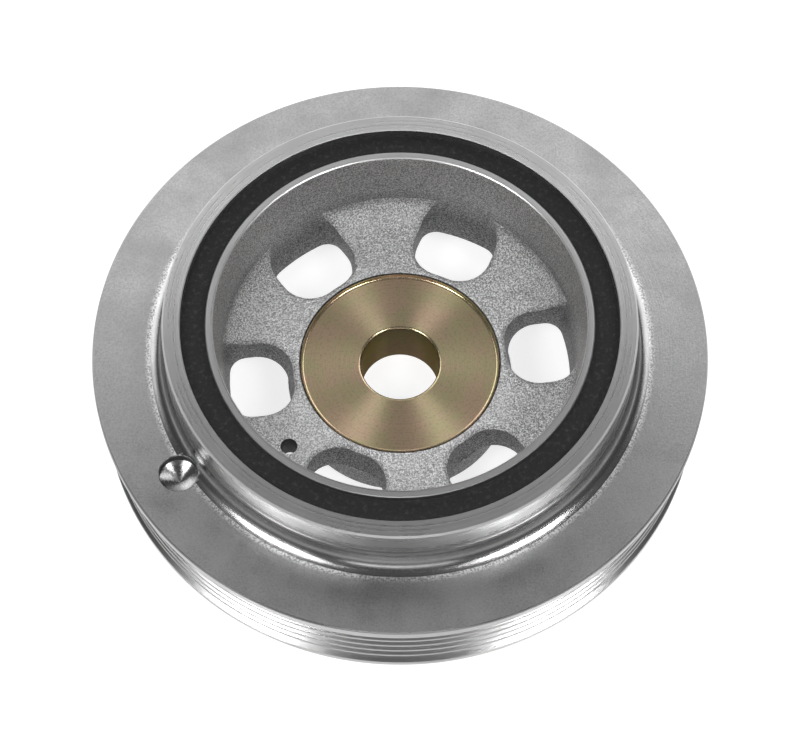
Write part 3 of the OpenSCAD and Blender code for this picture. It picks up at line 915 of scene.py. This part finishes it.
def add_floor(s):
    """A flat pale floor, a hair's breadth under the part."""
    reach = np.linspace(-6.0, 6.0, 25)
    x, y = np.meshgrid(reach, reach, indexing="ij")
    points = np.stack([x, y, np.full_like(x, -0.05 * MM)], axis=-1)
    piece = make_piece("floor", [(points, False, 0)])
    material = bpy.data.materials.new("pale_floor")
    material.use_nodes = True
    tree = material.node_tree
    tree.nodes.clear()
    surface = node(tree, "ShaderNodeBsdfPrincipled", Base_Color=(0.38, 0.38, 0.38, 1.0), Roughness=0.22,
                   IOR=1.7)
    glow = node(tree, "ShaderNodeEmission")
    share = white_share(tree, node(tree, "ShaderNodeLightPath"))
    feed(tree, glow, Strength=maths(tree, "MULTIPLY", share, s.floor_white))
    both = node(tree, "ShaderNodeAddShader")
    tree.links.new(surface.outputs["BSDF"], both.inputs[0])
    tree.links.new(glow.outputs["Emission"], both.inputs[1])
    feed(tree, node(tree, "ShaderNodeOutputMaterial"), Surface=both.outputs["Shader"])
    piece.data.materials.append(material)


def add_world(s):
    """White all round for the camera, white at the horizon and a dim ceiling for gloss, and even fill."""
    world = bpy.data.worlds.new("studio")
    world.use_nodes = True
    bpy.context.scene.world = world
    tree = world.node_tree
    tree.nodes.clear()
    rays = node(tree, "ShaderNodeLightPath")
    split = node(tree, "ShaderNodeSeparateXYZ")
    feed(tree, split, Vector=node(tree, "ShaderNodeTexCoord").outputs["Generated"])
    ceiling = ramp(tree, split.outputs["Z"], (0.0, 0.12), (1.0, 0.08))
    gloss = maths(tree, "MULTIPLY", rays.outputs["Is Glossy Ray"], ceiling)
    straight = maths(tree, "MAXIMUM", rays.outputs["Is Camera Ray"], rays.outputs["Is Transmission Ray"])
    seen = maths(tree, "MAXIMUM", straight, gloss)
    fill = maths(tree, "MULTIPLY", maths(tree, "SUBTRACT", 1.0, white_share(tree, rays)), s.fill)
    background = node(tree, "ShaderNodeBackground", Color=(1.0, 1.0, 1.0, 1.0))
    feed(tree, background, Strength=maths(tree, "ADD", seen, fill))
    feed(tree, node(tree, "ShaderNodeOutputWorld"), Surface=background.outputs["Background"])


def add_camera(s):
    """A camera in front of and above the part, tilted up from looking straight down."""
    data = bpy.data.cameras.new("camera")
    data.sensor_fit = "HORIZONTAL"
    data.sensor_width = 36.0
    data.lens = s.lens
    camera = bpy.data.objects.new("camera", data)
    camera.location = (0.0, -s.camera_back, s.camera_height)
    camera.rotation_euler = (s.camera_tilt, 0.0, 0.0)
    bpy.context.scene.collection.objects.link(camera)
    bpy.context.scene.camera = camera


class BALANCER_OT_outer_ring(bpy.types.Operator):
    """Adds the turned outer ring with its grooves, collar and dimple"""
    bl_idname = "balancer.outer_ring"
    bl_label = "Outer ring"

    def execute(self, context):
        add_outer_ring(context.scene.balancer_ring)
        return {"FINISHED"}


class BALANCER_OT_rubber(bpy.types.Operator):
    """Adds the rubber ring between hub and collar"""
    bl_idname = "balancer.rubber"
    bl_label = "Rubber ring"

    def execute(self, context):
        add_rubber(context.scene.balancer_rubber)
        return {"FINISHED"}


class BALANCER_OT_hub(bpy.types.Operator):
    """Adds the cast hub with its bowl, spokes and windows"""
    bl_idname = "balancer.hub"
    bl_label = "Cast hub"

    def execute(self, context):
        add_hub(context.scene.balancer_hub, context.scene.balancer_insert)
        return {"FINISHED"}


class BALANCER_OT_insert(bpy.types.Operator):
    """Adds the passivated centre insert"""
    bl_idname = "balancer.insert"
    bl_label = "Centre insert"

    def execute(self, context):
        add_insert(context.scene.balancer_insert)
        return {"FINISHED"}


class BALANCER_OT_stage(bpy.types.Operator):
    """Adds the floor, the camera, the lamps and the studio's light"""
    bl_idname = "balancer.stage"
    bl_label = "Stage"

    def execute(self, context):
        s = context.scene.balancer_stage
        add_camera(s)
        add_floor(s)
        add_world(s)
        for name, place, width, height, setting in LAMPS:
            lamp(name, place, width, height, getattr(s, setting))
        context.scene.view_settings.view_transform = "Standard"
        return {"FINISHED"}


class BALANCER_PT_panel(bpy.types.Panel):
    """Lists the pieces of the balancer"""
    bl_label = "Harmonic balancer"
    bl_idname = "BALANCER_PT_panel"
    bl_space_type = "VIEW_3D"
    bl_region_type = "UI"
    bl_category = "Balancer"

    def draw(self, context):
        for operator in OPERATORS:
            self.layout.operator(operator.bl_idname)


SETTINGS = {
    "balancer_ring": RingSettings,
    "balancer_rubber": RubberSettings,
    "balancer_hub": HubSettings,
    "balancer_insert": InsertSettings,
    "balancer_stage": StageSettings,
}
OPERATORS = (BALANCER_OT_stage, BALANCER_OT_outer_ring, BALANCER_OT_rubber, BALANCER_OT_hub,
             BALANCER_OT_insert)
CLASSES = (*SETTINGS.values(), *OPERATORS, BALANCER_PT_panel)


def register():
    for made in CLASSES:
        bpy.utils.register_class(made)
    for name, settings in SETTINGS.items():
        setattr(bpy.types.Scene, name, PointerProperty(type=settings))


def unregister():
    for name in SETTINGS:
        delattr(bpy.types.Scene, name)
    for made in reversed(CLASSES):
        bpy.utils.unregister_class(made)


def main():
    register()
    bpy.ops.balancer.stage()
    bpy.ops.balancer.outer_ring()
    bpy.ops.balancer.rubber()
    bpy.ops.balancer.hub()
    bpy.ops.balancer.insert()


if __name__ == "__main__":
    main()
